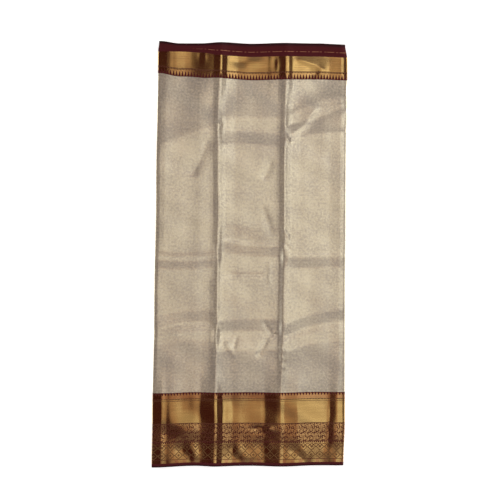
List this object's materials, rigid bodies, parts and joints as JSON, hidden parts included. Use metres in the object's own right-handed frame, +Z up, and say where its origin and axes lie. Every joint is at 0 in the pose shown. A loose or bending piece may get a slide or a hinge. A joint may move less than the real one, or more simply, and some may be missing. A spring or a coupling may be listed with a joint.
{
  "type": "folded silk saree",
  "caption": "Folded silk saree lying flat, face up: a pale brocade field between a narrow and a wide gold zari border, with wine selvedges.",
  "frame": {"origin": "middle of the footprint, on the surface that the folded saree lies on", "axes": "+X along the cloth's length, from the four-layer fold to the eight-layer fold; +Y across the cloth, from the wide border to the narrow one; +Z up, out of its face"},
  "size_m": [0.544, 1.186, 0.0199],
  "materials": {
    "field": "pale silk brocade with a fine gold vine",
    "wide_border": "gold zari tissue over wine silk",
    "narrow_border": "gold zari tissue over wine silk",
    "selvedge": "plain wine silk",
    "folded_layers": "edges of folded silk"
  },
  "bodies": {
    "root": {"layers_beneath": "folded_layers", "lower_selvedge": "selvedge", "lower_border": "wide_border", "body_field": "field", "upper_border": "narrow_border", "upper_selvedge": "selvedge"}
  },
  "joints": []
}
